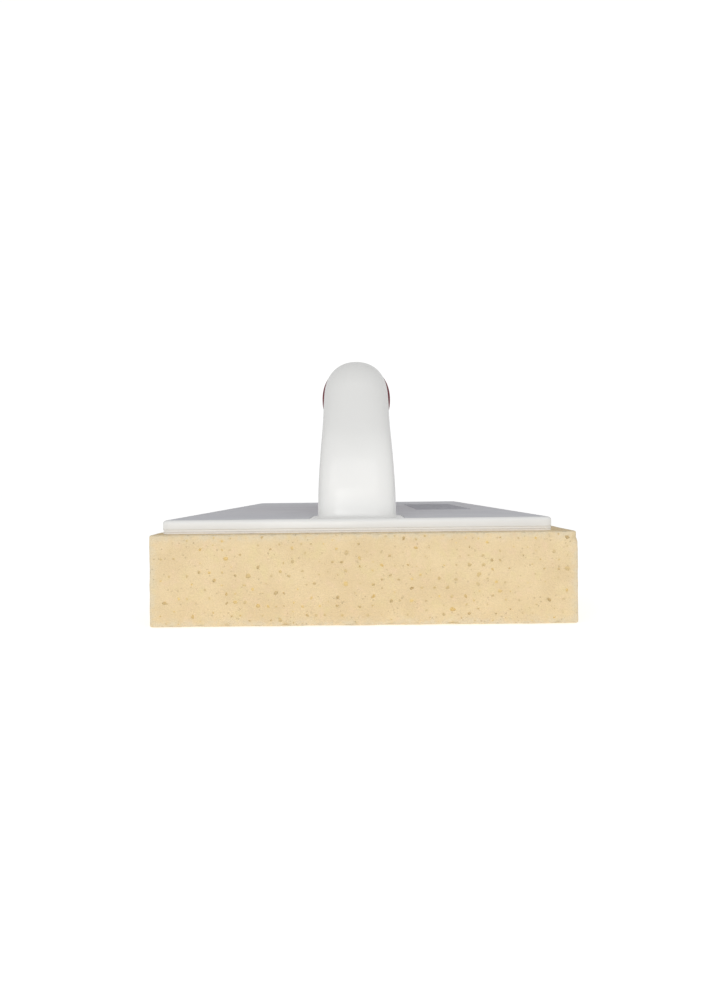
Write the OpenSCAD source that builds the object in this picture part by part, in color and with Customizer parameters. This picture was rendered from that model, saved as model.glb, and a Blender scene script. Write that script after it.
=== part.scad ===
// Sponge float for washing grout off tiles.
// A hydrophilic sponge pad is held by hook-and-loop under a moulded base plate, and a closed
// handle with a soft grip stands on the plate. The frame's origin is the centre of the sponge's
// working face, +Z points up to the handle and +Y runs along the float, from front to rear.

/* [Sponge pad] */
// Length of the sponge pad
pad_l = 280; // [240:5:320]
// Width of the sponge pad
pad_w = 140; // [110:5:160]
// Thickness of the sponge pad
pad_t = 30; // [20:1:40]
// Radius of the pad's upright corners
pad_corner_r = 1; // [1:0.5:5]

/* [Hook and loop] */
// Thickness of the loop backing laminated to the sponge
loop_t = 0.6; // [0.4:0.1:1]
// Thickness of the hook sheet bonded under the plate
hook_t = 0.7; // [0.4:0.1:1]
// How far both layers stay inside the plate's edge
layer_inset = 0.4; // [0.2:0.1:2]
// How far the tool sits off the pad's centre line, as the two were pressed together
tool_shift = 2; // [0:0.2:4]

/* [Base plate] */
// How far the sponge stands out past the plate on every side
plate_margin = 5; // [3:1:15]
// Thickness of the base plate
plate_t = 3.2; // [2.8:0.2:6]
// Corner radius of the plate
plate_corner_r = 2.5; // [2.5:0.5:10]
// Radius that rounds the plate's top edge
plate_edge_r = 1.2; // [0.6:0.1:1.2]
// Width of the white border round the deck panel
deck_border = 1.6; // [1.6:0.2:6]
// Thickness of the deck panel, which lies flush in the plate
deck_t = 0.8; // [0.5:0.1:1.2]

/* [Handle] */
// Gap from the plate's end to the handle's foot
foot_gap = 6; // [3:1:20]
// Width of each foot
foot_w = 27.2; // [24:0.2:34]
// Depth of each foot along the float
foot_d = 20; // [18:0.5:26]
// Height of each foot's upright part
foot_rise = 7; // [5:1:12]
// Slope of the legs above the feet
leg_slope = 47; // [40:1:60]
// Width of the bar beside the grip
bar_w = 24.6; // [22:0.2:32]
// Depth of the bar beside the grip
bar_d = 26; // [24:0.2:32]
// Height of the bar's top above the plate
bar_top = 60; // [54:0.5:70]
// Wall thickness of the handle's two shells
wall = 2.4; // [2:0.2:3]

/* [Grip] */
// Length of the soft grip
grip_l = 132; // [100:2:140]
// Thickness of the soft grip
grip_t = 3; // [2.2:0.2:3.6]
// How far the grip stands proud at the sides
grip_side_proud = 1.9; // [0.4:0.1:2]
// How far the grip stands proud at the top and bottom
grip_top_proud = 1.8; // [0.4:0.1:2]

/* [Screws] */
// Thread diameter of the self-tapping foot screws
screw_d = 3.5; // [3:0.1:4]
// Length of the foot screws
screw_l = 18; // [16:1:20]
// Distance between the two screws of one foot
screw_pitch = 13; // [11:0.5:14]

/* [Hidden] */
$fn = 48;

// Heights of the layers; the hooks stand a little clear of the loops
layer_gap = 0.1;
loop_z = pad_t;
hook_z = loop_z + loop_t + layer_gap;
plate_z = hook_z + hook_t;
deck_z = plate_z + plate_t;

// Sizes in plan
plate_l = pad_l - 2 * plate_margin;
plate_w = pad_w - 2 * plate_margin;
layer_l = plate_l - 2 * layer_inset;
layer_w = plate_w - 2 * layer_inset;
deck_l = plate_l - 2 * deck_border;
deck_w = plate_w - 2 * deck_border;
deck_corner_r = plate_corner_r - 1;
deck_gap = 0.1;
foot_pad_margin = 2.5;
foot_y = plate_l / 2 - foot_gap - foot_d / 2;

// Row of plain raised ridges on the right of the deck
ridge_count = 9;
ridge_pitch = 11;
ridge_w = 24;
ridge_l = 4;
ridge_h = 0.3;
ridge_x = 38;

// Handle path: upright foot, lower bend, sloping leg, shoulder, level bar
bar_z = bar_top - bar_d / 2;
bend_r = 25;
shoulder_r = 24;
leg_taper_z = 35;
foot_fillet = 1.2;
foot_power = 5;
bar_power = 2.15;
parting_angle = 20;
fillet_steps = 3;
bend_steps = 6;
shoulder_steps = 10;
bar_steps = 4;
shell_segments = 26;
liner_segments = 16;
grip_segments = 44;

// Grip seat: the bar is waisted so that the grip lies in it, with a little clearance in its bore
seat_side = grip_t - grip_side_proud;
seat_top = grip_t - grip_top_proud;
seat_step = 0.3;
grip_bore_gap = 0.1;
grip_edge_r = 1.4;
grip_edge_steps = 4;

// Feet: spigots on the plate, screw bosses in the shell
spigot_h = 4;
spigot_gap = 0.2;
spigot_corner_r = 4.5;
notch_corner_r = 2;
boss_d = 7.4;
boss_gap = 0.2;
boss_h = 14;
pilot_d = screw_d - 0.7;
pilot_depth = screw_l - plate_t + 1;
web_t = 1.6;
clearance_d = screw_d + 0.5;
head_d = 7;
head_h = (head_d - screw_d) / 2;
head_recess = 0.1;
sink_d = head_d + 0.4;
tip_h = 3;
tip_d = 1;
rib_t = 1.6;
rib_bite = 1;
rib_ys = [-40, 0, 40];
clip_ys = [-48, -16, 16, 48];
clip_l = 7;
clip_t = 1.4;
clip_rise = 5;
eps = 0.01;

function mix(a, b, t) = a + (b - a) * t;
function ease(t) = let (c = max(0, min(1, t))) c * c * (3 - 2 * c);
function power_of(v, p) = sign(v) * pow(abs(v), p);

// Half width, half depth and squareness of the handle's section at height z above the plate
function half_w(z) = mix(foot_w, bar_w, ease(z / leg_taper_z)) / 2;
function half_d(z) = mix(foot_d, bar_d, ease((z - foot_rise) / (bar_z - foot_rise))) / 2;
function squareness(z) = mix(foot_power, bar_power, ease(z / bar_z));

// Points [y, z, heading] along a clockwise arc that leaves start with its heading
function arc_line(start, to, radius, steps) =
    let (centre_y = start[0] + radius * sin(start[2]), centre_z = start[1] - radius * cos(start[2]))
        [
            for (i = [1 : steps])
                let (a = mix(start[2], to, i / steps))
                    [centre_y - radius * sin(a), centre_z + radius * cos(a), a]
        ];

// Centre line of the front leg, from the foot to the end of the shoulder
foot_line = [
    for (i = [0 : fillet_steps])
        [-foot_y, foot_fillet * (1 - cos(90 * i / fillet_steps)), 90]
];
bend_line = arc_line([-foot_y, foot_rise, 90], leg_slope, bend_r, bend_steps);
bend_end = bend_line[bend_steps - 1];
shoulder_rise = shoulder_r * (1 - cos(leg_slope));
slope_z = bar_z - shoulder_rise;
slope_start = [bend_end[0] + (slope_z - bend_end[1]) / tan(leg_slope), slope_z, leg_slope];
shoulder_line = arc_line(slope_start, 0, shoulder_r, shoulder_steps);
leg_line = concat(foot_line, [[-foot_y, foot_rise, 90]], bend_line, [slope_start], shoulder_line);

// Rings are [y, z, heading, growth outside, seat share]: the foot flares, the grip seat is waisted
function flare(z) =
    z < foot_fillet ? foot_fillet - sqrt(pow(foot_fillet, 2) - pow(foot_fillet - z, 2)) : 0;
front_leg = [for (p = leg_line) [p[0], p[1], p[2], flare(p[1]), 0]];
front_bar = concat(
    [[-grip_l / 2, bar_z, 0, 0, 0]],
    [for (i = [0 : bar_steps]) [mix(-grip_l / 2 + seat_step, 0, i / bar_steps), bar_z, 0, 0, 1]]
);
front_half = concat(front_leg, front_bar);
rear_half = [
    for (i = [len(front_half) - 2 : -1 : 0])
        let (p = front_half[i]) [-p[0], p[1], -p[2], p[3], p[4]]
];
handle_line = concat(front_half, rear_half);

// One point of the section at a ring, at angle t, grown by side and top; it lies in the deck's frame
function section_point(ring, t, side, top) =
    let (
        z = ring[1],
        u = (half_w(z) + side) * power_of(cos(t), 2 / squareness(z)),
        v = (half_d(z) + top) * power_of(sin(t), 2 / squareness(z))
    )
        [u, ring[0] - v * sin(ring[2]), z + v * cos(ring[2])];

// Growth of the outer and inner surfaces at a ring, as [side, top]
function outer_growth(ring) = [ring[3] - ring[4] * seat_side, ring[3] - ring[4] * seat_top];
function inner_growth(ring) = [-wall - ring[4] * seat_side, -wall - ring[4] * seat_top];

// Closed channel section between two angles: out along the outer surface, back along the inner one
function channel_ring(ring, from, to, segments) =
    let (o = outer_growth(ring), i = inner_growth(ring))
        concat(
            [for (k = [0 : segments]) section_point(ring, mix(from, to, k / segments), o[0], o[1])],
            [for (k = [segments : -1 : 0]) section_point(ring, mix(from, to, k / segments), i[0], i[1])]
        );

// Triangles that close the end of a channel: a strip between its outer and inner lines
function channel_cap(segments) = [
    for (k = [0 : segments - 1])
        let (across = 2 * segments + 1 - k)
            each [[k, k + 1, across - 1], [k, across - 1, across]]
];

// Solid through a list of closed rings with equal numbers of points; cap holds one end's faces
module sweep(rings, cap) {
    n = len(rings[0]);
    m = len(rings);
    side_faces = [
        for (i = [0 : m - 2], j = [0 : n - 1])
            let (a = i * n + j, b = i * n + (j + 1) % n)
                each [[a, b, b + n], [a, b + n, a + n]]
    ];
    first_cap = [for (face = cap) [for (k = [len(face) - 1 : -1 : 0]) face[k]]];
    last_cap = [for (face = cap) [for (k = face) (m - 1) * n + k]];
    polyhedron(points = [for (r = rings) each r], faces = concat(first_cap, side_faces, last_cap));
}

// Rounded rectangle made of exact squares and circles
module round_rect(w, l, r) {
    square([w, l - 2 * r], center = true);
    square([w - 2 * r, l], center = true);
    for (x = [-1, 1], y = [-1, 1])
        translate([x * (w / 2 - r), y * (l / 2 - r)])
            circle(r);
}

// The tool body's place over the pad, at a height
module on_tool(z) {
    translate([-tool_shift, 0, z])
        children();
}

// Front foot's place, and its mirror image at the rear
module at_feet() {
    for (side = [0, 1])
        mirror([0, side, 0])
            translate([0, -foot_y, 0])
                children();
}

module at_screws() {
    for (x = [-1, 1])
        translate([x * screw_pitch / 2, 0, 0])
            children();
}

module sponge_pad() {
    color("wheat")
        linear_extrude(pad_t)
            round_rect(pad_w, pad_l, pad_corner_r);
}

module loop_backing() {
    color("ivory")
        on_tool(loop_z)
            linear_extrude(loop_t)
                round_rect(layer_w, layer_l, plate_corner_r);
}

module hook_sheet() {
    color("whitesmoke")
        on_tool(hook_z)
            linear_extrude(hook_t)
                round_rect(layer_w, layer_l, plate_corner_r);
}

// Outline of the deck panel: the whole deck less the white pad that each foot stands on
module deck_outline(gap) {
    notch_w = foot_w + 2 * (foot_pad_margin + gap);
    notch_l = foot_d + foot_gap + foot_pad_margin + gap;
    difference() {
        round_rect(deck_w - 2 * gap, deck_l - 2 * gap, deck_corner_r);
        at_feet()
            translate([0, notch_l / 2 - foot_d / 2 - foot_gap])
                round_rect(notch_w, notch_l, notch_corner_r);
    }
}

// Section of the plate's border, from corner_r inside the edge out to it, with a rounded top edge
module border_section() {
    square([plate_corner_r, plate_t - plate_edge_r]);
    square([plate_corner_r - plate_edge_r, plate_t]);
    translate([plate_corner_r - plate_edge_r, plate_t - plate_edge_r])
        circle(plate_edge_r);
}

// One side of the border, length long, with its outer face towards +X
module border_side(length) {
    translate([0, length / 2, 0])
        rotate([90, 0, 0])
            linear_extrude(length)
                border_section();
}

// Plate body: a core, four straight borders and four turned corners
module plate_block() {
    core_w = plate_w - 2 * plate_corner_r;
    core_l = plate_l - 2 * plate_corner_r;
    translate([0, 0, plate_t / 2])
        cube([core_w, core_l, plate_t], center = true);
    for (turn = [0, 180])
        rotate(turn) {
            translate([core_w / 2, 0, 0])
                border_side(core_l);
            translate([0, core_l / 2, 0])
                rotate(90)
                    border_side(core_w);
            translate([core_w / 2, core_l / 2, 0])
                rotate_extrude(angle = 90)
                    border_section();
            translate([-core_w / 2, core_l / 2, 0])
                rotate(90)
                    rotate_extrude(angle = 90)
                        border_section();
        }
}

module screw_hole() {
    translate([0, 0, -eps])
        cylinder(d = clearance_d, h = plate_t + spigot_h + 2 * eps);
    translate([0, 0, -eps])
        cylinder(d1 = sink_d + 2 * eps, d2 = clearance_d, h = (sink_d - clearance_d) / 2 + eps);
}

module base_plate() {
    spigot_w = foot_w - 2 * (wall + spigot_gap);
    spigot_l = foot_d - 2 * (wall + spigot_gap);
    color("white")
        on_tool(plate_z)
            difference() {
                union() {
                    plate_block();
                    at_feet()
                        linear_extrude(plate_t + spigot_h)
                            round_rect(spigot_w, spigot_l, spigot_corner_r);
                }
                translate([0, 0, plate_t - deck_t])
                    linear_extrude(deck_t + eps)
                        deck_outline(0);
                at_feet()
                    at_screws()
                        screw_hole();
            }
}

module deck_panel() {
    color("darkgray")
        on_tool(deck_z - deck_t) {
            linear_extrude(deck_t)
                deck_outline(deck_gap);
            for (i = [0 : ridge_count - 1])
                translate([ridge_x, (i - (ridge_count - 1) / 2) * ridge_pitch, deck_t])
                    cube([ridge_w, ridge_l, 2 * ridge_h], center = true);
        }
}

// Screw bosses of one foot, joined to the shell's side walls by a web
module foot_bosses() {
    boss_z = spigot_h + boss_gap;
    web_w = foot_w - wall;
    translate([-web_w / 2, -web_t / 2, boss_z])
        cube([web_w, web_t, boss_h]);
    at_screws()
        translate([0, 0, boss_z])
            cylinder(d = boss_d, h = boss_h);
}

// Cross rib inside the bar, cut to the section and let into the wall a little
module bar_rib(y) {
    bar_ring = [0, bar_z, 0, 0, 1];
    grow = inner_growth(bar_ring);
    steps = 16;
    outline = [
        for (k = [0 : steps])
            let (p = section_point(bar_ring, 180 * k / steps, grow[0] + rib_bite, grow[1] + rib_bite))
                [p[0], p[2]]
    ];
    translate([0, y + rib_t / 2, 0])
        rotate([90, 0, 0])
            linear_extrude(rib_t)
                polygon(outline);
}

module handle_shell() {
    color("white")
        on_tool(deck_z)
            difference() {
                union() {
                    sweep(
                        [
                            for (r = handle_line)
                                channel_ring(r, -parting_angle, 180 + parting_angle, shell_segments)
                        ],
                        channel_cap(shell_segments)
                    );
                    at_feet()
                        foot_bosses();
                    for (y = rib_ys)
                        bar_rib(y);
                }
                at_feet()
                    at_screws()
                        cylinder(d = pilot_d, h = pilot_depth);
            }
}

module handle_liner() {
    clip_x = (bar_w / 2 - seat_side - wall) * 0.88;
    clip_z = bar_z - half_d(bar_z) * 0.55;
    color("white")
        on_tool(deck_z) {
            for (y = clip_ys, x = [-1, 1])
                translate([x * (clip_x - clip_t / 2), y, clip_z + clip_rise / 2])
                    cube([clip_t, clip_l, clip_rise], center = true);
            sweep(
                [
                    for (r = handle_line)
                        channel_ring(r, 180 + parting_angle, 360 - parting_angle, liner_segments)
                ],
                channel_cap(liner_segments)
            );
        }
}

// Closed loop round the bar at y, grown by side and top
function bar_loop(y, side, top) = [
    for (k = [0 : grip_segments - 1])
        section_point([y, bar_z, 0], 360 * k / grip_segments, side, top)
];

// Loops of the grip's rounded end, from its face at distance y from the middle to full size
function grip_end(y, steps) = [
    for (i = steps)
        let (
            a = 90 * i / grip_edge_steps,
            back = grip_edge_r * (1 - cos(a)),
            drop = grip_edge_r * (1 - sin(a))
        )
            bar_loop(y - sign(y) * back, grip_side_proud - drop, grip_top_proud - drop)
];

module grip_sleeve() {
    end_y = grip_l / 2 - seat_step;
    loop_cap = [[for (k = [0 : grip_segments - 1]) k]];
    bore_side = grip_bore_gap - seat_side;
    bore_top = grip_bore_gap - seat_top;
    outside = concat(
        grip_end(-end_y, [0 : grip_edge_steps]),
        grip_end(end_y, [grip_edge_steps : -1 : 0])
    );
    color("firebrick")
        on_tool(deck_z)
            difference() {
                sweep(outside, loop_cap);
                sweep([for (y = [-grip_l, grip_l]) bar_loop(y, bore_side, bore_top)], loop_cap);
            }
}

// Countersunk self-tapping screw with its head down at z 0
module foot_screw() {
    rotate_extrude()
        polygon([
            [0, 0], [head_d / 2, 0], [screw_d / 2, head_h], [screw_d / 2, screw_l - tip_h],
            [tip_d / 2, screw_l], [0, screw_l]
        ]);
}

module foot_screws(y) {
    color("silver")
        on_tool(plate_z + head_recess)
            translate([0, y, 0])
                at_screws()
                    foot_screw();
}

sponge_pad();
loop_backing();
hook_sheet();
base_plate();
deck_panel();
handle_shell();
handle_liner();
grip_sleeve();
foot_screws(-foot_y);  // front_foot_screws
foot_screws(foot_y);  // rear_foot_screws
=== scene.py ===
"""Sponge grout float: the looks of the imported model, in metres, in its frame."""

import itertools
import math

import bmesh
import bpy
import numpy as np
from mathutils import Matrix, Vector
from mathutils.kdtree import KDTree


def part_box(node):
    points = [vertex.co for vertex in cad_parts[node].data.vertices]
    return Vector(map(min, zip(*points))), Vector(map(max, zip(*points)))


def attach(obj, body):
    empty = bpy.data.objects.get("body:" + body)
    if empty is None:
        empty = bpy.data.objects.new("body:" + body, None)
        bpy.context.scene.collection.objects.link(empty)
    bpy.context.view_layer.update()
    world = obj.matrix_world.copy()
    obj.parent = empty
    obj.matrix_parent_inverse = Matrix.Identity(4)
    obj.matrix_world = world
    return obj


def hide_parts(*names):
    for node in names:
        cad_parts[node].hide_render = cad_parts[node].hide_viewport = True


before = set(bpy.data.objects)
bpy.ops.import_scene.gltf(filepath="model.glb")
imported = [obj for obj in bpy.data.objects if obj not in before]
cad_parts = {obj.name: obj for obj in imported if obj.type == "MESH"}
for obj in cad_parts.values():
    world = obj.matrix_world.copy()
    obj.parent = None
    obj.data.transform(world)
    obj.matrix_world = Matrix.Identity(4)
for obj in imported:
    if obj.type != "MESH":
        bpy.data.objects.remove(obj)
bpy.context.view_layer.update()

MM = 0.001

# Sizes are in millimetres and angles in degrees. The handle is as in part.scad, with heights
# above the deck; each power is the exponent of the section's superellipse.
FOOT_W, FOOT_D, FOOT_RISE, FOOT_POWER = 27.2, 20.0, 7.0, 5.0
FOOT_Y, FOOT_FILLET = 119.0, 1.2
LEG_SLOPE, LEG_TAPER_Z, BEND_R, SHOULDER_R = 47.0, 35.0, 25.0, 24.0
BAR_W, BAR_D, BAR_TOP, BAR_POWER = 24.6, 26.0, 60.0, 2.15
BAR_Z = BAR_TOP - BAR_D / 2
WALL, PARTING = 2.4, 20.0

# Where a half of the handle meets the other: angles in from its edge, and the drop at each
PARTING_NEAR, PARTING_FAR = 0.7, 1.8
PARTING_DEEP, PARTING_SHALLOW = 0.32, 0.1

# Soft grip: how far it stands proud, how deep its seat is, its end rounding and its grooves
GRIP_L, GRIP_SIDE, GRIP_TOP, SEAT_SIDE, SEAT_TOP = 131.4, 1.9, 1.8, 1.1, 1.2
GRIP_EDGE, GRIP_BORE_GAP, GRIP_COLUMNS = 1.4, 0.1, 144
GROOVE_PITCH, GROOVE_HALF_W, GROOVE_DEPTH = 5.0, 0.75, 0.8
GROOVE_GROUP_Y, GROOVES_PER_GROUP, ROWS_PER_GROOVE, GRIP_ROWS = 32.5, 6, 12, 154

# Plate, its foot pads and the two sheets under it
PLATE_CORNER, PLATE_EDGE = 2.5, 1.2
DECK_INSET, DECK_DEPTH = 1.6, 0.8
FOOT_PAD_MARGIN, FOOT_PAD_CORNER = 2.4, 1.9
SHEET_GROW, SHEET_EDGE, LOOP_PILE, SHEET_WOBBLE = 0.5, 0.05, 0.05, 0.02

# Camera fitted to the photograph, in metres, and its focal length against the long side in pixels
CAMERA_AT, CAMERA_ROLL, CAMERA_SHIFT = (-0.0013, -0.4012, 0.0454), -0.6, (0.0047, -0.0096)
FOCAL_PX, LONG_PX, SENSOR_MM = 802.0, 991.0, 36.0

# Floor in metres, just under the sponge so that the two don't share a plane
FLOOR_HALF, FLOOR_Z, FLOOR_GLOW = 6.0, -0.0003, 0.62

# The surroundings' light from level to straight up, from in front to behind the float, and from
# the middle to either side, and how bright the camera sees them
WORLD_UP, WORLD_BACK, WORLD_SIDE, WORLD_SEEN = (0.92, 0.62), (1.0, 0.74), (1.04, 0.76), 1.05

# Area lights as (place, target, size in metres, watts)
KEY_LIGHT = (-0.25, -1.5, 0.55), (0, 0, 0.05), 1.1, 4
STRIP_LIGHT = (-0.11, -1.3, 0.10), (0, -0.1, 0.05), 0.16, 0.35

plate_low, plate_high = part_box("base_plate")
sponge_low, sponge_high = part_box("sponge_pad")
TOOL_X = (plate_low.x + plate_high.x) / 2 / MM
DECK_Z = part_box("handle_shell")[0].z / MM


# ---------------------------------------------------------------- mesh helpers


def new_piece(name, points, faces, body, material, smooth, replaces=()):
    """A mesh piece from points in millimetres that rides on a body; smooth is an angle."""
    mesh = bpy.data.meshes.new(name)
    faces = [tuple(int(i) for i in face) for face in faces]
    mesh.from_pydata((np.asarray(points) * MM).tolist(), [], faces)
    obj = bpy.data.objects.new(name, mesh)
    bpy.context.scene.collection.objects.link(obj)
    weld(mesh)
    mesh.shade_smooth()
    mesh.set_sharp_from_angle(angle=math.radians(smooth))
    mesh.materials.append(material)
    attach(obj, body)
    if replaces:
        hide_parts(*replaces)
    return obj


def weld(mesh):
    """Merges doubled points and turns every face outwards."""
    bm = bmesh.new()
    bm.from_mesh(mesh)
    bmesh.ops.remove_doubles(bm, verts=bm.verts, dist=1e-7)
    bmesh.ops.dissolve_degenerate(bm, edges=bm.edges, dist=1e-8)
    bmesh.ops.recalc_face_normals(bm, faces=bm.faces)
    bm.to_mesh(mesh)
    bm.free()


def strip_faces(rings, count, closed=False):
    """Quads between neighbouring rings of count points each; closed joins the last to the first."""
    last = rings if closed else rings - 1
    faces = []
    for i in range(last):
        a, b = i * count, ((i + 1) % rings) * count
        faces += [(a + j, a + (j + 1) % count, b + (j + 1) % count, b + j) for j in range(count)]
    return faces


def end_faces(rings, count):
    """The two faces that close a stack of rings."""
    return [tuple(range(count))[::-1], tuple(range((rings - 1) * count, rings * count))]


def nearest_values(piece, points, values):
    """Values for a welded mesh's points, each from the nearest of the points it was made from."""
    tree = KDTree(len(points))
    for k, point in enumerate(np.asarray(points) * MM):
        tree.insert(point, k)
    tree.balance()
    return [float(values[tree.find(vertex.co)[1]]) for vertex in piece.data.vertices]


def add_attribute(piece, name, points, values):
    """Gives a piece a number at each of its points, for its material to read."""
    found = nearest_values(piece, points, values)
    layer = piece.data.attributes.new(name, "FLOAT", "POINT")
    layer.data.foreach_set("value", np.asarray(found, dtype=np.float32))


# ---------------------------------------------------------------- node helpers


class Tree:
    """Short calls for building a node tree."""

    def __init__(self, owner):
        owner.use_nodes = True
        self.tree = owner.node_tree

    def node(self, kind, **values):
        made = self.tree.nodes.new(kind)
        for key, value in values.items():
            setattr(made, key, value)
        return made

    def link(self, source, target):
        self.tree.links.new(source, target)

    def put(self, socket, value):
        """Sets a socket to a number or a colour, or links another node's output to it."""
        if isinstance(value, (int, float)):
            socket.default_value = value
        elif isinstance(value, tuple):
            socket.default_value = (*value, 1)
        else:
            self.link(value, socket)

    def maths(self, operation, a, b=0.0):
        made = self.node("ShaderNodeMath", operation=operation)
        self.put(made.inputs[0], a)
        self.put(made.inputs[1], b)
        return made.outputs["Value"]

    def fade(self, source, at_zero, at_one):
        """Straight line between two values while the source goes from 0 to 1, held outside it."""
        made = self.node("ShaderNodeMapRange")
        self.link(source, made.inputs["Value"])
        self.put(made.inputs["To Min"], at_zero)
        self.put(made.inputs["To Max"], at_one)
        return made.outputs["Result"]

    def axes(self, source):
        """X, Y and Z of a vector."""
        parts = self.node("ShaderNodeSeparateXYZ")
        self.link(source, parts.inputs[0])
        return parts.outputs


class Nodes(Tree):
    """Short calls for building one material from object coordinates."""

    def __init__(self, name):
        self.material = bpy.data.materials.new(name)
        super().__init__(self.material)
        self.shader = self.tree.nodes["Principled BSDF"]
        self.where = self.node("ShaderNodeTexCoord").outputs["Object"]

    def scaled(self, x, y, z):
        """Object coordinates stretched by a factor along each axis."""
        mapping = self.node("ShaderNodeMapping")
        mapping.inputs["Scale"].default_value = (x, y, z)
        self.link(self.where, mapping.inputs["Vector"])
        return mapping.outputs["Vector"]

    def noise(self, size_mm, detail=3.0, rough=0.55, where=None, distortion=0.0):
        """Cloudy noise whose largest features are about size_mm."""
        made = self.node("ShaderNodeTexNoise")
        made.inputs["Scale"].default_value = 1 / (size_mm * MM)
        made.inputs["Detail"].default_value = detail
        made.inputs["Roughness"].default_value = rough
        made.inputs["Distortion"].default_value = distortion
        self.link(where or self.where, made.inputs["Vector"])
        return made.outputs["Fac"]

    def cells(self, size_mm, randomness=1.0):
        """Distance to the nearest of scattered cell centres."""
        made = self.node("ShaderNodeTexVoronoi")
        made.inputs["Scale"].default_value = 1 / (size_mm * MM)
        made.inputs["Randomness"].default_value = randomness
        self.link(self.where, made.inputs["Vector"])
        return made.outputs["Distance"]

    def ramp(self, source, low, high, from_value=0.0, to_value=1.0):
        """Smooth step from one value to another while the source goes from low to high."""
        made = self.node("ShaderNodeMapRange", interpolation_type="SMOOTHSTEP")
        made.inputs["From Min"].default_value = low
        made.inputs["From Max"].default_value = high
        made.inputs["To Min"].default_value = from_value
        made.inputs["To Max"].default_value = to_value
        self.link(source, made.inputs["Value"])
        return made.outputs["Result"]

    def mix(self, factor, a, b):
        """Mixes two colours; each is a tuple or a socket."""
        made = self.node("ShaderNodeMix", data_type="RGBA")
        colour_a, colour_b = (socket for socket in made.inputs if socket.type == "RGBA")
        self.put(made.inputs["Factor"], factor)
        self.put(colour_a, a)
        self.put(colour_b, b)
        return next(socket for socket in made.outputs if socket.type == "RGBA")

    def flatness(self):
        """1 on level faces and 0 on upright ones."""
        geometry = self.node("ShaderNodeNewGeometry")
        return self.maths("ABSOLUTE", self.axes(geometry.outputs["Normal"])["Z"])

    def attribute(self, name):
        return self.node("ShaderNodeAttribute", attribute_name=name).outputs["Fac"]

    def bump(self, height, distance_mm, after=None):
        made = self.node("ShaderNodeBump")
        made.inputs["Distance"].default_value = distance_mm * MM
        self.link(height, made.inputs["Height"])
        if after:
            self.link(after, made.inputs["Normal"])
        return made.outputs["Normal"]

    def finish(self, colour, roughness, normal=None, **numbers):
        """Fills in the shader; numbers are its other sockets, with _ for each space."""
        inputs = self.shader.inputs
        self.put(inputs["Base Color"], colour)
        self.put(inputs["Roughness"], roughness)
        if normal:
            self.link(normal, inputs["Normal"])
        for key, value in numbers.items():
            inputs[key.replace("_", " ")].default_value = value
        return self.material


# ---------------------------------------------------------------- materials


def white_plastic():
    """Glossy moulded ABS: faint flow tone, slight orange peel and a few dull handling scuffs."""
    m = Nodes("white_plastic")
    tone = m.ramp(m.noise(26, 2), 0.3, 0.7)
    colour = m.mix(tone, (0.805, 0.805, 0.79), (0.825, 0.825, 0.81))
    scuff = m.ramp(m.noise(0.7, 4, 0.7, m.scaled(1, 0.1, 1)), 0.66, 0.74)
    patch = m.ramp(m.noise(14, 2), 0.55, 0.7)
    scuff = m.maths("MULTIPLY", scuff, patch)
    colour = m.mix(m.maths("MULTIPLY", scuff, 0.10), colour, (0.60, 0.59, 0.56))
    rough = m.ramp(m.noise(16, 1), 0.3, 0.7, 0.16, 0.21)
    rough = m.maths("ADD", rough, m.maths("MULTIPLY", scuff, 0.25))
    peel = m.bump(m.noise(3.5, 1), 0.006)
    return m.finish(colour, rough, m.bump(m.noise(0.5, 1), 0.0006, after=peel), IOR=1.5)


def painted_shade_deck():
    """Cool grey deck with a moulded spark-erosion grain; its low ridges are darker and duller. The
    grey is painted shade: it stands for the white top as it looks at a grazing angle, and the
    ridges' darkening is painted shade too.
    """
    m = Nodes("painted_shade_deck")
    # Painted shade and reflection: this cool grey stands for the white top seen at a grazing angle,
    # lit dimly from above.
    tone = m.ramp(m.noise(30, 3), 0.3, 0.7)
    colour = m.mix(tone, (0.61, 0.615, 0.655), (0.655, 0.66, 0.695))
    worn = m.ramp(m.noise(2.5, 5, 0.7), 0.55, 0.8)
    colour = m.mix(m.maths("MULTIPLY", worn, 0.35), colour, (0.70, 0.70, 0.71))
    # Painted shade: the low ridges' tops are darker by a patchy amount, standing in for the shading
    # of their sides.
    ridge = m.ramp(m.axes(m.where)["Z"], (DECK_Z + 0.02) * MM, (DECK_Z + 0.12) * MM)
    wear = m.ramp(m.noise(1.6, 4, 0.7), 0.35, 0.75, 0.95, 0.55)
    colour = m.mix(m.maths("MULTIPLY", ridge, wear), colour, (0.42, 0.425, 0.46))
    grain = m.maths("ADD", m.cells(0.7), m.maths("MULTIPLY", m.noise(0.3, 3), 0.6))
    rough = m.ramp(m.noise(4, 3), 0.3, 0.7, 0.5, 0.64)
    return m.finish(colour, rough, m.bump(grain, 0.06), Specular_IOR_Level=0.25)


def red_grip():
    """Dark red soft-touch rubber with a fine matte grain, a little dusty in its grooves."""
    m = Nodes("red_grip")
    tone = m.ramp(m.noise(20, 2), 0.3, 0.7)
    colour = m.mix(tone, (0.140, 0.012, 0.021), (0.160, 0.015, 0.025))
    dust = m.ramp(m.noise(0.5, 4, 0.65), 0.4, 0.75)
    dust = m.maths("MULTIPLY", dust, m.ramp(m.attribute("groove"), 0.1, 1.0, 0.03, 0.22))
    colour = m.mix(dust, colour, (0.34, 0.20, 0.17))
    grain = m.maths("ADD", m.noise(0.25, 3), m.cells(0.5))
    rough = m.ramp(m.noise(6, 2), 0.3, 0.7, 0.5, 0.58)
    normal = m.bump(grain, 0.022)
    return m.finish(colour, rough, normal, Sheen_Weight=0.10, Sheen_Roughness=0.45)


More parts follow.
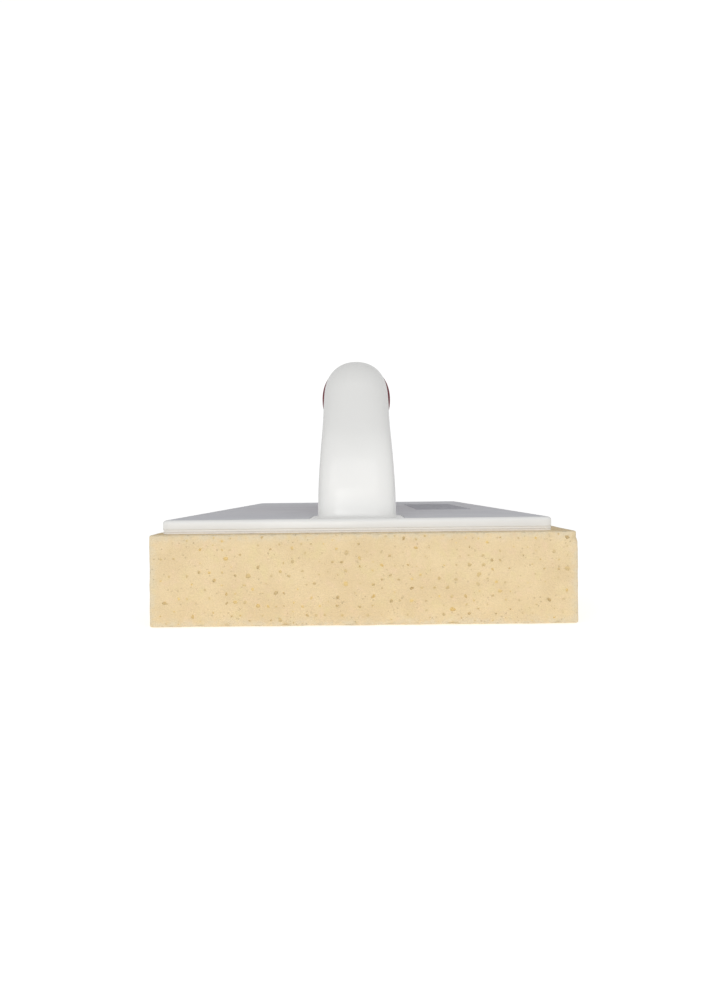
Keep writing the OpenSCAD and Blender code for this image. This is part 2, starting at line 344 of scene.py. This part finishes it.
def hook_plastic():
    """White hook sheet: rows of tiny moulded hooks on a flat base, with a clean cut edge."""
    m = Nodes("hook_plastic")
    rows = m.cells(0.9, randomness=0.12)
    stalk = m.maths("MULTIPLY", m.ramp(rows, 0.18, 0.42, 1.0, 0.0), m.flatness())
    colour = m.mix(stalk, (0.93, 0.925, 0.91), (0.95, 0.945, 0.935))
    colour = m.mix(m.ramp(m.noise(6, 3), 0.4, 0.7, 0, 0.3), colour, (0.91, 0.895, 0.87))
    return m.finish(colour, 0.5, m.bump(stalk, 0.16), Specular_IOR_Level=0.35)


def loop_fabric():
    """Brushed loop fabric: a fine tangled pile in a warm white, with small tufts."""
    m = Nodes("loop_fabric")
    pile = m.noise(0.55, 5, 0.75, m.scaled(1, 0.5, 1), 2.0)
    tufts = m.cells(1.3)
    height = m.maths("SUBTRACT", pile, m.maths("MULTIPLY", tufts, 0.5))
    height = m.maths("MULTIPLY", height, m.ramp(m.flatness(), 0.3, 1.0, 0.15, 1.0))
    colour = m.mix(m.ramp(pile, 0.35, 0.62), (0.90, 0.87, 0.82), (0.965, 0.945, 0.92))
    shade = m.maths("MULTIPLY", m.ramp(tufts, 0.25, 0.7, 0, 0.35), m.flatness())
    colour = m.mix(shade, colour, (0.82, 0.77, 0.69))
    normal = m.bump(height, 0.3)
    return m.finish(colour, 0.9, normal, Sheen_Weight=0.25, Specular_IOR_Level=0.2)


def sponge_foam():
    """Hydrophilic foam: mottled beige with fine cells. Painted shade makes it deeper in its pores,
    darker in its fine cells and small pores, and greyer and darker at edges.
    """
    m = Nodes("sponge_foam")
    mottle = m.ramp(m.noise(11, 4, 0.6), 0.32, 0.68)
    skin = m.mix(mottle, (0.765, 0.60, 0.365), (0.82, 0.655, 0.405))
    skin = m.mix(m.ramp(m.noise(3.2, 3), 0.50, 0.72, 0, 0.45), skin, (0.84, 0.635, 0.43))
    olive = m.ramp(m.noise(4.1, 3, 0.5, m.scaled(1, 1.3, 0.8)), 0.52, 0.75, 0, 0.5)
    skin = m.mix(olive, skin, (0.775, 0.645, 0.355))
    uneven = m.ramp(m.noise(2.2, 4, 0.6), 0.3, 0.65, 0.35, 1.1)
    # Painted shade at the edges: greyer within reach of an edge and darker right at it, by a patchy
    # amount.
    edge = m.maths("MULTIPLY", m.attribute("edge"), uneven)
    skin = m.mix(m.ramp(edge, 0.05, 0.7, 0, 0.8), skin, (0.755, 0.655, 0.475))
    skin = m.mix(m.ramp(edge, 0.70, 1.0, 0, 0.6), skin, (0.54, 0.465, 0.34))
    # Painted shade in the dents of the fine cells, which the bump makes at their centres.
    fine = m.cells(0.42)
    skin = m.mix(m.ramp(fine, 0.3, 0.65, 0.14, 0.0), skin, (0.56, 0.43, 0.23))
    # Small pores: dents in the bump that are painted with shade.
    small_pores = m.ramp(m.cells(1.15), 0.0, 0.34, 1.0, 0.0)
    small_pores = m.maths("MULTIPLY", small_pores, m.ramp(m.noise(1.9, 2), 0.50, 0.62))
    skin = m.mix(m.maths("MULTIPLY", small_pores, 0.4), skin, (0.60, 0.47, 0.25))
    # Painted shade in the pores: their deeper points take a darker, more saturated colour, which
    # tint varies from pore to pore.
    deep = m.mix(m.attribute("tint"), (0.69, 0.545, 0.305), (0.84, 0.64, 0.29))
    colour = m.mix(m.ramp(m.attribute("pit"), 0.0, 0.9), skin, deep)
    height = m.maths("ADD", fine, m.maths("MULTIPLY", m.noise(0.28, 3), 0.5))
    height = m.maths("SUBTRACT", height, m.maths("MULTIPLY", small_pores, 1.6))
    normal = m.bump(height, 0.13)
    return m.finish(colour, 0.95, normal, Specular_IOR_Level=0.1, Sheen_Weight=0.08)


def zinc_steel():
    """Zinc-plated screw steel with faint turning lines."""
    m = Nodes("zinc_steel")
    turned = m.noise(0.25, 2, 0.5, m.scaled(0.2, 0.2, 4))
    colour = m.mix(m.ramp(turned, 0.35, 0.65), (0.50, 0.50, 0.51), (0.66, 0.66, 0.67))
    rough = m.ramp(m.noise(1.0, 3), 0.3, 0.7, 0.28, 0.42)
    return m.finish(colour, rough, m.bump(turned, 0.02), Metallic=1.0)


def pale_floor():
    """Near-white floor with a little light of its own, so that it meets the white background."""
    m = Nodes("pale_floor")
    tone = m.ramp(m.noise(60, 3), 0.3, 0.7)
    glow = m.mix(tone, (0.80, 0.80, 0.80), (0.81, 0.81, 0.81))
    m.link(glow, m.shader.inputs["Emission Color"])
    colour = m.mix(tone, (0.84, 0.84, 0.84), (0.85, 0.85, 0.85))
    return m.finish(colour, 0.9, Emission_Strength=FLOOR_GLOW, Specular_IOR_Level=0.0)


# ---------------------------------------------------------------- handle


def ease(t):
    """Smooth step from 0 to 1."""
    c = np.clip(t, 0, 1)
    return c * c * (3 - 2 * c)


def half_width(z):
    """Half of the section across the float, at a height of the centre line."""
    return (FOOT_W + (BAR_W - FOOT_W) * ease(z / LEG_TAPER_Z)) / 2


def half_depth(z):
    """Half of the section across the centre line in its own plane."""
    return (FOOT_D + (BAR_D - FOOT_D) * ease((z - FOOT_RISE) / (BAR_Z - FOOT_RISE))) / 2


def squareness(z):
    """The section's exponent: nearly square at the foot, nearly round at the bar."""
    return FOOT_POWER + (BAR_POWER - FOOT_POWER) * ease(z / BAR_Z)


def arc(start, to, radius, steps):
    """Points (y, z, heading) along an arc that turns from start's heading to another."""
    y, z, heading = start
    turn = np.radians(np.linspace(heading, to, steps + 1)[1:])
    facing = math.radians(heading)
    y0, z0 = y + radius * math.sin(facing), z - radius * math.cos(facing)
    return [(y0 - radius * math.sin(a), z0 + radius * math.cos(a), math.degrees(a)) for a in turn]


def front_leg():
    """Centre line of the front leg as (y, z, heading, growth); growth is the foot's fillet."""
    turns = [math.pi / 2 * i / 6 for i in range(7)]
    line = [
        (-FOOT_Y, FOOT_FILLET * (1 - math.cos(a)), 90, FOOT_FILLET * (1 - math.sin(a)))
        for a in turns
    ]
    line += [(-FOOT_Y, z, 90, 0) for z in (3.1, 5.0, FOOT_RISE)]
    bend = arc((-FOOT_Y, FOOT_RISE, 90), LEG_SLOPE, BEND_R, 20)
    y0, z0, _ = bend[-1]
    z1 = BAR_Z - SHOULDER_R * (1 - math.cos(math.radians(LEG_SLOPE)))
    y1 = y0 + (z1 - z0) / math.tan(math.radians(LEG_SLOPE))
    slope = [
        (y0 + (y1 - y0) * t, z0 + (z1 - z0) * t, LEG_SLOPE) for t in np.linspace(0, 1, 9)[1:]
    ]
    shoulder = arc(slope[-1], 0, SHOULDER_R, 30)
    return line + [(*p, 0) for p in bend + slope + shoulder]


def handle_line():
    """Whole centre line as (y, z, heading, growth, seat share)."""
    seat = GRIP_L / 2
    half = [(*p, 0) for p in front_leg()]
    half += [(-seat - 8, BAR_Z, 0, 0, 0), (-seat - 0.3, BAR_Z, 0, 0, 0)]
    half += [(y, BAR_Z, 0, 0, 1) for y in np.linspace(-seat, 0, 12)]
    return half + [(-y, z, -h, g, s) for y, z, h, g, s in half[-2::-1]]


def section(y, z, heading, angles, side, top):
    """Points of the handle's section; side and top may be arrays of growth."""
    t, p, h = np.radians(angles), 2 / squareness(z), math.radians(heading)
    u = (half_width(z) + side) * np.sign(np.cos(t)) * np.abs(np.cos(t)) ** p
    v = (half_depth(z) + top) * np.sign(np.sin(t)) * np.abs(np.sin(t)) ** p
    return np.stack([TOOL_X + u, y - v * math.sin(h), DECK_Z + z + v * math.cos(h)], axis=1)


def channel_piece(name, start, end, steps, material, replaces):
    """One half of the handle: a channel with eased long edges, so that the parting line shows."""
    angles = np.linspace(start, end, steps)[2:-2]
    first = [start, start + PARTING_NEAR, start + PARTING_FAR]
    angles = np.concatenate([first, angles, [end - PARTING_FAR, end - PARTING_NEAR, end]])
    relief = np.zeros(len(angles))
    relief[[0, -1]] = -PARTING_DEEP
    relief[[1, -2]] = -PARTING_SHALLOW
    rings = []
    for y, z, heading, growth, seat in handle_line():
        side, top = growth - seat * SEAT_SIDE, growth - seat * SEAT_TOP
        outer = section(y, z, heading, angles, side + relief, top + relief)
        inner = section(y, z, heading, angles[::-1], side - WALL - growth, top - WALL - growth)
        rings.append(np.concatenate([outer, inner]))
    count = len(rings[0])
    faces = strip_faces(len(rings), count)
    for base in (0, (len(rings) - 1) * count):
        last = base + count - 1
        faces += [(base + k, base + k + 1, last - 1 - k, last - k) for k in range(len(angles) - 1)]
    points = np.concatenate(rings)
    new_piece(name, points, faces, "tool", material, 35, replaces)


def groove_offset(y):
    """Distance from y to the nearest cross groove of the grip's two groups."""
    middle = (GROOVES_PER_GROUP - 1) / 2
    offsets = [GROOVE_GROUP_Y + GROOVE_PITCH * (i - middle) for i in range(GROOVES_PER_GROUP)]
    return min(abs(abs(y) - offset) for offset in offsets)


def grip(material):
    """Soft grip: a sleeve with rounded ends and two groups of shallow grooves on each side."""
    seat = GRIP_L / 2
    angles = np.linspace(0, 360, GRIP_COLUMNS, endpoint=False)
    along = np.arange(-GRIP_ROWS, GRIP_ROWS + 1) * GROOVE_PITCH / ROWS_PER_GROOVE
    turns = np.linspace(0, math.pi / 2, 8)
    ends = [(GRIP_EDGE * (1 - math.cos(a)), GRIP_EDGE * (1 - math.sin(a))) for a in turns]
    rows = [(-seat + back, drop) for back, drop in ends[:-1]] + [(y, 0) for y in along]
    rows += [(seat - back, drop) for back, drop in ends[-2::-1]]
    on_sides = ease((np.abs(np.cos(np.radians(angles))) ** 2 - 0.1) / 0.6)
    rings, groove = [], []
    for y, drop in rows:
        share = math.exp(-((groove_offset(y) / GROOVE_HALF_W) ** 4)) * on_sides
        low = drop + GROOVE_DEPTH * share
        rings.append(section(y, BAR_Z, 0, angles, GRIP_SIDE - low, GRIP_TOP - low))
        groove.append(share)
    side, top = GRIP_BORE_GAP - SEAT_SIDE, GRIP_BORE_GAP - SEAT_TOP
    for y, _ in (rows[-1], rows[0]):
        rings.append(section(y, BAR_Z, 0, angles, side, top))
        groove.append(np.zeros(GRIP_COLUMNS))
    points = np.concatenate(rings)
    faces = strip_faces(len(rings), GRIP_COLUMNS, closed=True)
    replaced = ("grip_sleeve",)
    piece = new_piece("soft_grip", points, faces, "tool", material, 45, replaced)
    add_attribute(piece, "groove", points, np.concatenate(groove))


# ---------------------------------------------------------------- slabs


def outline(width, length, radius, steps=10):
    """Rounded rectangle's points, centred, as an array of x and y."""
    points = []
    for sx, sy, start in ((1, 1, 0), (-1, 1, 90), (-1, -1, 180), (1, -1, 270)):
        for a in np.radians(np.linspace(start, start + 90, steps + 1)):
            x = sx * (width / 2 - radius) + radius * math.cos(a)
            y = sy * (length / 2 - radius) + radius * math.sin(a)
            points.append((x, y))
    return np.array(points)


def at_height(ring, z):
    """A flat ring of x and y as points at one height, moved to the tool's centre line."""
    return np.column_stack([ring[:, 0] + TOOL_X, ring[:, 1], np.full(len(ring), z)])


def slab(name, size, profile, body, material, replaces, wobble=0.0, steps=10):
    """A slab of (width, length) from (inset, height) pairs, from its underside over its edge."""
    width, length = size
    rings = []
    rng = np.random.default_rng(7)
    for inset, z in profile:
        radius = max(PLATE_CORNER - inset, 0.05)
        ring = outline(width - 2 * inset, length - 2 * inset, radius, steps)
        rings.append(at_height(ring + rng.normal(0, wobble, ring.shape), z))
    count = len(rings[0])
    faces = strip_faces(len(rings), count) + end_faces(len(rings), count)
    return new_piece(name, np.concatenate(rings), faces, body, material, 35, replaces)


def plate(material):
    """Base plate: a moulded slab with a rounded rim and a shallow recess for the deck."""
    low, top = plate_low.z / MM, DECK_Z
    size = (plate_high - plate_low) / MM
    profile = [(0.3, low), (0.1, low), (0.0, low + 0.12)]
    for turn in np.linspace(0, math.pi / 2, 9):
        back, drop = PLATE_EDGE * (1 - math.cos(turn)), PLATE_EDGE * (1 - math.sin(turn))
        profile.append((back, top - drop))
    profile += [(DECK_INSET - 0.15, top), (DECK_INSET - 0.03, top - 0.05), (DECK_INSET, top - 0.2)]
    profile += [(DECK_INSET, top - DECK_DEPTH), (DECK_INSET + 2, top - DECK_DEPTH)]
    replaced = ("base_plate",)
    slab("plate_body", (size.x, size.y), profile, "tool", material, replaced)


def foot_pads(material):
    """The white pads of the plate that the handle's feet stand on."""
    half_w, inner = FOOT_W / 2 + FOOT_PAD_MARGIN, FOOT_Y - FOOT_D / 2 - FOOT_PAD_MARGIN
    outer = plate_high.y / MM - DECK_INSET - 0.02
    profile = ((0, -DECK_DEPTH), (0, -0.12), (0.05, -0.03), (0.18, 0.0))
    for name, sign in (("front_foot_pad", -1), ("rear_foot_pad", 1)):
        shape = outline(2 * half_w, outer - inner, FOOT_PAD_CORNER, 8)
        shape[:, 1] = sign * (shape[:, 1] + (outer + inner) / 2)
        centre = np.array([0, sign * (outer + inner) / 2])
        rings = []
        for inset, z in profile:
            scale = 1 - inset / np.array([half_w, (outer - inner) / 2])
            rings.append(at_height((shape - centre) * scale + centre, DECK_Z + z))
        faces = strip_faces(len(rings), len(shape)) + end_faces(len(rings), len(shape))
        new_piece(name, np.concatenate(rings), faces, "tool", material, 35)


def fastener_sheets(hooks, loops):
    """Hook sheet under the plate and loop backing on the sponge, with slightly uneven cut edges."""
    for name, node, body, slot, material, pile in (
        ("hook_layer", "hook_sheet", "tool", "hook_plastic", hooks, 0.0),
        ("loop_layer", "loop_backing", "pad", "loop_fabric", loops, LOOP_PILE),
    ):
        low, high = (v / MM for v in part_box(node))
        z0, z1, e = low.z, high.z + pile, SHEET_EDGE
        profile = [(1.5, z0), (e, z0), (0.0, z0 + e), (0.0, z1 - e), (e, z1), (1.5, z1)]
        width, length = high.x - low.x + SHEET_GROW, high.y - low.y + SHEET_GROW
        piece = slab(name, (width, length), profile, body, material, (node,), SHEET_WOBBLE, 6)


# ---------------------------------------------------------------- sponge


def value_noise(points, seed, size):
    """Smooth noise from -1 to 1 at points, from a fixed random lattice of that size."""
    cells = 32
    table = np.random.default_rng(seed).uniform(-1, 1, (cells, cells, cells))
    p = points / size
    i = np.floor(p).astype(int)
    f = ease(p - i)
    total = 0.0
    for offset in itertools.product((0, 1), repeat=3):
        x, y, z = ((i + offset) % cells).T
        total = total + np.where(offset, f, 1 - f).prod(axis=1) * table[x, y, z]
    return total


class Sponge:
    """The pad's skin: a band round its sides and a grid on its flat faces, with pores in them."""

    # Spacing of the grid, and the radii of the upright corners and of the other edges
    CELL, CORNER, EDGE = 1.45, 0.9, 0.55
    # Cells of the top face that are made, in from its edge; the loop backing covers the rest
    BORDER = 5
    # Pores per cell on the sides, the underside and the top
    SIDE_PORES, UNDER_PORES, OVER_PORES = 0.12, 0.08, 0.06
    # How far the grid's points are moved in their plane
    JITTER, OVER_JITTER = 0.22, 0.15
    # The cut faces' waviness as (seed, size, height)
    WAVES = ((1, 9.0, 0.16), (2, 2.6, 0.10), (3, 1.1, 0.05))
    # The torn corner: its place from the upper front right corner, its reach and its pull
    TORN_AT, TORN_REACH, TORN_PULL = (-0.6, 0.2, -1.4), 2.2, (-1.5, 0.7)
    # Bites out of the bottom edge: noise size, threshold, depth and reach up the side
    BITE_SIZE, BITE_FROM, BITE_DEPTH, BITE_REACH = 1.7, 0.15, 1.9, 1.1
    # How much the upright edges are worn, and how far in from an edge the foam is painted with
    # shade
    WEAR, EDGE_REACH = 0.25, 1.9

    def __init__(self):
        self.low, self.high = np.array(sponge_low) / MM, np.array(sponge_high) / MM
        self.height = self.high[2] - self.low[2]
        self.rng = np.random.default_rng(20)
        self.points, self.normals, self.faces = [], [], []
        self.pit, self.tint, self.corners = [], [], []
        # Grid lines inside the corners, which the band and the flat faces share
        self.half = (self.high - self.low)[:2] / 2 - self.CORNER
        counts = [round(2 * h / self.CELL / 2) * 2 + 1 for h in self.half]
        self.xs, self.ys = (np.linspace(-h, h, n) for h, n in zip(self.half, counts))

    def add(self, point, normal, pit=0.0, tint=0.0):
        """One point, with how deep in a pore it is and the pore's tint."""
        self.points.append(point)
        self.normals.append(normal)
        self.pit.append(pit)
        self.tint.append(tint)
        return len(self.points) - 1

    def perimeter(self):
        """(x, y, outward direction) round the inner rectangle, with a fan at each corner."""
        hx, hy = self.half
        sides = (
            [(x, -hy) for x in self.xs], [(hx, y) for y in self.ys],
            [(x, hy) for x in self.xs[::-1]], [(-hx, y) for y in self.ys[::-1]],
        )
        stations = []
        for k, side in enumerate(sides):
            turn = math.pi / 2 * (k - 1)
            for x, y in side:
                stations.append((x, y, turn))
            x, y = side[-1]
            self.corners += range(len(stations) - 1, len(stations) + 4)
            stations += [(x, y, turn + math.pi / 8 * i) for i in (1, 2, 3)]
        self.corners = {column % len(stations) for column in self.corners}
        return stations

    def profile(self):
        """(distance out from the inner rectangle, height, lift of the normal) up the side."""
        top, r, e = self.height, self.CORNER, self.EDGE
        turn = np.linspace(0, math.pi / 2, 4)
        rows = [(0.0, 0.0, -math.pi / 2)]
        rows += [(r - e + e * math.sin(a), e - e * math.cos(a), a - math.pi / 2) for a in turn]
        inner = round((top - 2 * e) / self.CELL / 2) * 2
        rows += [(r, z, 0.0) for z in np.linspace(e, top - e, inner + 1)[1:-1]]
        rows += [(r - e + e * math.cos(a), top - e + e * math.sin(a), a) for a in turn]
        return rows + [(0.0, top, math.pi / 2)]

    def band(self):
        """Index grid of the band, row by row from the bottom to the top."""
        stations, rows = self.perimeter(), self.profile()
        grid = np.empty((len(rows), len(stations)), dtype=int)
        for i, (out, z, lift) in enumerate(rows):
            for j, (x, y, turn) in enumerate(stations):
                dx, dy = math.cos(turn), math.sin(turn)
                normal = np.array([dx * math.cos(lift), dy * math.cos(lift), math.sin(lift)])
                grid[i, j] = self.add(np.array([x + out * dx, y + out * dy, z]), normal)
        return grid

    def flat(self, z, normal, keep=None):
        """Index grid of a flat face, X by Y. keep is how many cells in from the edge are made."""
        grid = np.full((len(self.xs), len(self.ys)), -1)
        for i, x in enumerate(self.xs):
            for j, y in enumerate(self.ys):
                near = min(i, j, len(self.xs) - 1 - i, len(self.ys) - 1 - j)
                if keep is None or near <= keep:
                    grid[i, j] = self.add(np.array([x, y, z]), np.array([0.0, 0.0, normal]))
        return grid

    def cells(self, grid, density, wrap=False, rows=None):
        """Quads over an index grid, with pores stamped into 2 by 2 blocks of them."""
        height, width = grid.shape
        across = width if wrap else width - 1
        used = np.zeros((height - 1, across), dtype=bool)
        first, last = rows or (0, height - 1)

        def at(i, j):
            return grid[i, j % width]

        barred = self.corners if wrap else set()
        columns = [j for j in range(across - (0 if wrap else 1)) if not {j, j + 1, j + 2} & barred]
        starts = [(i, j) for i in range(first, last - 1) for j in columns]
        self.rng.shuffle(starts)
        wanted = int(density * across * (last - first))
        for i, j in starts:
            if wanted <= 0:
                break
            block = [(i + a, (j + b) % across) for a in (0, 1) for b in (0, 1)]
            if any(used[c] for c in block):
                continue
            around = ((0, 0), (0, 1), (0, 2), (1, 2), (2, 2), (2, 1), (2, 0), (1, 0))
            loop = [at(i + a, j + b) for a, b in around]
            if min(loop) < 0:
                continue
            for c in block:
                used[c] = True
            self.pore(loop)
            wanted -= 1
        for i in range(height - 1):
            for j in range(across):
                corners = (at(i, j), at(i, j + 1), at(i + 1, j + 1), at(i + 1, j))
                if not used[i, j] and min(corners) >= 0:
                    self.faces.append(corners)

    def pore(self, loop):
        """One pore inside a loop of eight points: an uneven rim, a wider belly and a floor."""
        rng = self.rng
        pts = np.array([self.points[k] for k in loop])
        normal = np.mean([self.normals[k] for k in loop], axis=0)
        normal /= np.linalg.norm(normal)
        room = np.min(np.linalg.norm(pts - pts.mean(axis=0), axis=1))
        centre = pts.mean(axis=0) + (pts[rng.integers(8)] - pts.mean(axis=0)) * rng.uniform(0, 0.18)
        size = room * min(0.66, 0.19 + 0.18 * rng.gamma(2.0, 0.56))
        stretch = rng.uniform(0.45, 1.0)
        depth = size * rng.uniform(0.4, 0.85)
        way = rng.uniform(0, math.pi)
        tint = rng.uniform(0, 1) ** 2
        reach = np.linalg.norm(pts - centre, axis=1)
        spokes = (pts - centre) / reach[:, None]
        angle = np.arange(8) * math.pi / 4
        ragged = size * (1 - (1 - stretch) * np.abs(np.cos(angle - way)))
        ragged = np.minimum(ragged * rng.uniform(0.7, 1.25, 8), reach * 0.86)
        lip = centre - normal * 0.05
        rim = [self.add(lip + spokes[k] * ragged[k], normal, 0.25, tint) for k in range(8)]
        wider = rng.uniform(0.85, 1.12, 8) * ragged
        middle = centre - normal * depth * 0.55
        belly = [self.add(middle + spokes[k] * wider[k], normal, 0.8, tint) for k in range(8)]
        floor = self.add(centre - normal * depth, normal, 1.0, tint)
        for k in range(8):
            n = (k + 1) % 8
            self.faces.append((loop[k], loop[n], rim[n], rim[k]))
            self.faces.append((rim[k], rim[n], belly[n], belly[k]))
            self.faces.append((belly[k], belly[n], floor))

    def cap(self, grid):
        """One flat face over the middle of the top, which the loop backing covers."""
        nx, ny = grid.shape
        a, b = self.BORDER, nx - 1 - self.BORDER
        c, d = self.BORDER, ny - 1 - self.BORDER
        ring = [grid[i, c] for i in range(a, b)] + [grid[b, j] for j in range(c, d)]
        ring += [grid[i, d] for i in range(b, a, -1)] + [grid[a, j] for j in range(d, c, -1)]
        self.faces.append(tuple(ring))

    def jitter(self, grid, inside, amount):
        """Moves the inner points of a grid in their plane, so that the lattice doesn't show."""
        for index in grid[inside].ravel():
            if index < 0:
                continue
            normal = self.normals[index]
            move = self.rng.normal(0, amount, 3)
            self.points[index] = self.points[index] + move - normal * move.dot(normal)

    def roughen(self):
        """Cut-face waviness, ragged edges, bites out of the bottom edge and one torn corner."""
        p, n = np.array(self.points), np.array(self.normals)
        n = n / np.linalg.norm(n, axis=1)[:, None]
        top = self.height
        free = np.clip((top - p[:, 2]) / 0.6, 0, 1)
        wave = sum(height * value_noise(p, seed, size) for seed, size, height in self.WAVES)
        low_edge = np.exp(-(p[:, 2] / self.BITE_REACH) ** 2) * (np.abs(n[:, 2]) < 0.99)
        bite = np.clip(value_noise(p + 50, 4, self.BITE_SIZE) - self.BITE_FROM, 0, 1)
        bite = bite * self.BITE_DEPTH * low_edge
        side_edge = np.clip(np.abs(n[:, 0]) * np.abs(n[:, 1]) * 4, 0, 1)
        wear = self.WEAR * side_edge * np.clip(value_noise(p, 5, 1.8), 0, 1)
        wave = wave + 0.02 - bite - wear
        wave = wave * np.where(n[:, 2] > 0.9, 0.4 * free, 1.0)
        under = n[:, 2] < -0.9
        p = p + n * np.where(under, np.minimum(wave, 0), wave)[:, None]
        torn = np.array([self.high[0], self.low[1], top]) + self.TORN_AT
        near = np.clip(1 - np.linalg.norm(p - torn, axis=1) / self.TORN_REACH, 0, 1)
        p[:, :2] += near[:, None] * self.TORN_PULL
        # Painted shade: the bites and the torn corner are given the colour of a pore's inside.
        self.pit = np.clip(np.array(self.pit) + bite * 0.6 + near * 0.6, 0, 1)
        # Closeness to the nearest edge, which the material paints as shade
        walls = np.concatenate([p - (*self.low[:2], 0), (*self.high[:2], top) - p], axis=1)
        inset = np.sort(walls, axis=1)[:, 1]
        self.edge = np.exp(-np.maximum(inset, 0) / self.EDGE_REACH)
        p[:, 2] = np.clip(p[:, 2], 0.0, top)
        self.points = p + np.array([0, 0, self.low[2]])

    def build(self, material):
        """Makes the piece; the order of the calls is the order of the random draws."""
        band = self.band()
        under = self.flat(0.0, -1.0)
        over = self.flat(self.height, 1.0, self.BORDER)
        straight = [j for j in range(band.shape[1]) if j not in self.corners]
        self.jitter(band, np.s_[5:-5, straight], self.JITTER)
        self.jitter(under, np.s_[1:-1, 1:-1], self.JITTER)
        self.jitter(over, np.s_[1:-1, 1:-1], self.OVER_JITTER)
        self.cells(band, self.SIDE_PORES, wrap=True, rows=(1, len(band) - 2))
        self.cells(under, self.UNDER_PORES)
        self.cells(over, self.OVER_PORES)
        self.cap(over)
        self.roughen()
        piece = new_piece(
            "sponge_block", self.points, self.faces, "pad", material, 50, ("sponge_pad",)
        )
        for name, values in (("pit", self.pit), ("tint", self.tint), ("edge", self.edge)):
            add_attribute(piece, name, self.points, values)


# ---------------------------------------------------------------- stage


def make_floor():
    """A large pale floor under the sponge, which isn't part of the object."""
    mesh = bpy.data.meshes.new("floor")
    half, z = FLOOR_HALF, FLOOR_Z
    corners = [(-half, -half, z), (half, -half, z), (half, half, z), (-half, half, z)]
    mesh.from_pydata(corners, [], [(0, 1, 2, 3)])
    floor = bpy.data.objects.new("floor", mesh)
    bpy.context.scene.collection.objects.link(floor)
    mesh.materials.append(pale_floor())


def make_world():
    """White surroundings that light most from in front and low down, and look plain white."""
    world = bpy.data.worlds.new("studio")
    bpy.context.scene.world = world
    w = Tree(world)
    sky = w.tree.nodes["Background"]
    sky.inputs["Color"].default_value = (1.0, 1.0, 1.0, 1)
    direction = w.axes(w.node("ShaderNodeTexCoord").outputs["Generated"])
    upward = w.fade(direction["Z"], *WORLD_UP)
    backward = w.fade(direction["Y"], *WORLD_BACK)
    sideways = w.fade(w.maths("ABSOLUTE", direction["X"]), *WORLD_SIDE)
    light = w.maths("MULTIPLY", w.maths("MULTIPLY", upward, backward), sideways)
    seen = w.node("ShaderNodeLightPath").outputs["Is Camera Ray"]
    w.link(w.fade(seen, light, WORLD_SEEN), sky.inputs["Strength"])


def soft_light(name, place, target, size, watts):
    """A square area light at a place, turned to a target."""
    data = bpy.data.lights.new(name, "AREA")
    data.shape, data.size, data.energy = "SQUARE", size, watts
    light = bpy.data.objects.new(name, data)
    bpy.context.scene.collection.objects.link(light)
    light.location = place
    light.rotation_euler = (Vector(place) - Vector(target)).to_track_quat("Z", "Y").to_euler()


def make_camera():
    """Camera low in front of the float's end, just above the deck, looking level along it."""
    data = bpy.data.cameras.new("camera")
    data.sensor_width = SENSOR_MM
    data.lens = FOCAL_PX / LONG_PX * data.sensor_width
    data.shift_x, data.shift_y = CAMERA_SHIFT
    data.clip_start, data.clip_end = 0.01, 50
    camera = bpy.data.objects.new("camera", data)
    bpy.context.scene.collection.objects.link(camera)
    level = Matrix.Rotation(math.radians(90), 4, "X")
    roll = Matrix.Rotation(math.radians(CAMERA_ROLL), 4, "Z")
    camera.matrix_world = Matrix.Translation(CAMERA_AT) @ level @ roll
    bpy.context.scene.camera = camera


def main():
    bpy.context.scene.view_settings.view_transform = "Standard"
    white, steel = white_plastic(), zinc_steel()
    for node in ("front_foot_screws", "rear_foot_screws"):
        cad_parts[node].data.materials[0] = steel
    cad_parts["deck_panel"].data.materials[0] = painted_shade_deck()
    channel_piece("handle_outer", -PARTING, 180 + PARTING, 71, white, ("handle_shell",))
    channel_piece("handle_inner", 180 + PARTING, 360 - PARTING, 47, white, ("handle_liner",))
    grip(red_grip())
    plate(white)
    foot_pads(white)
    fastener_sheets(hook_plastic(), loop_fabric())
    Sponge().build(sponge_foam())
    make_floor()
    make_world()
    soft_light("key", *KEY_LIGHT)
    soft_light("strip", *STRIP_LIGHT)
    make_camera()


main()
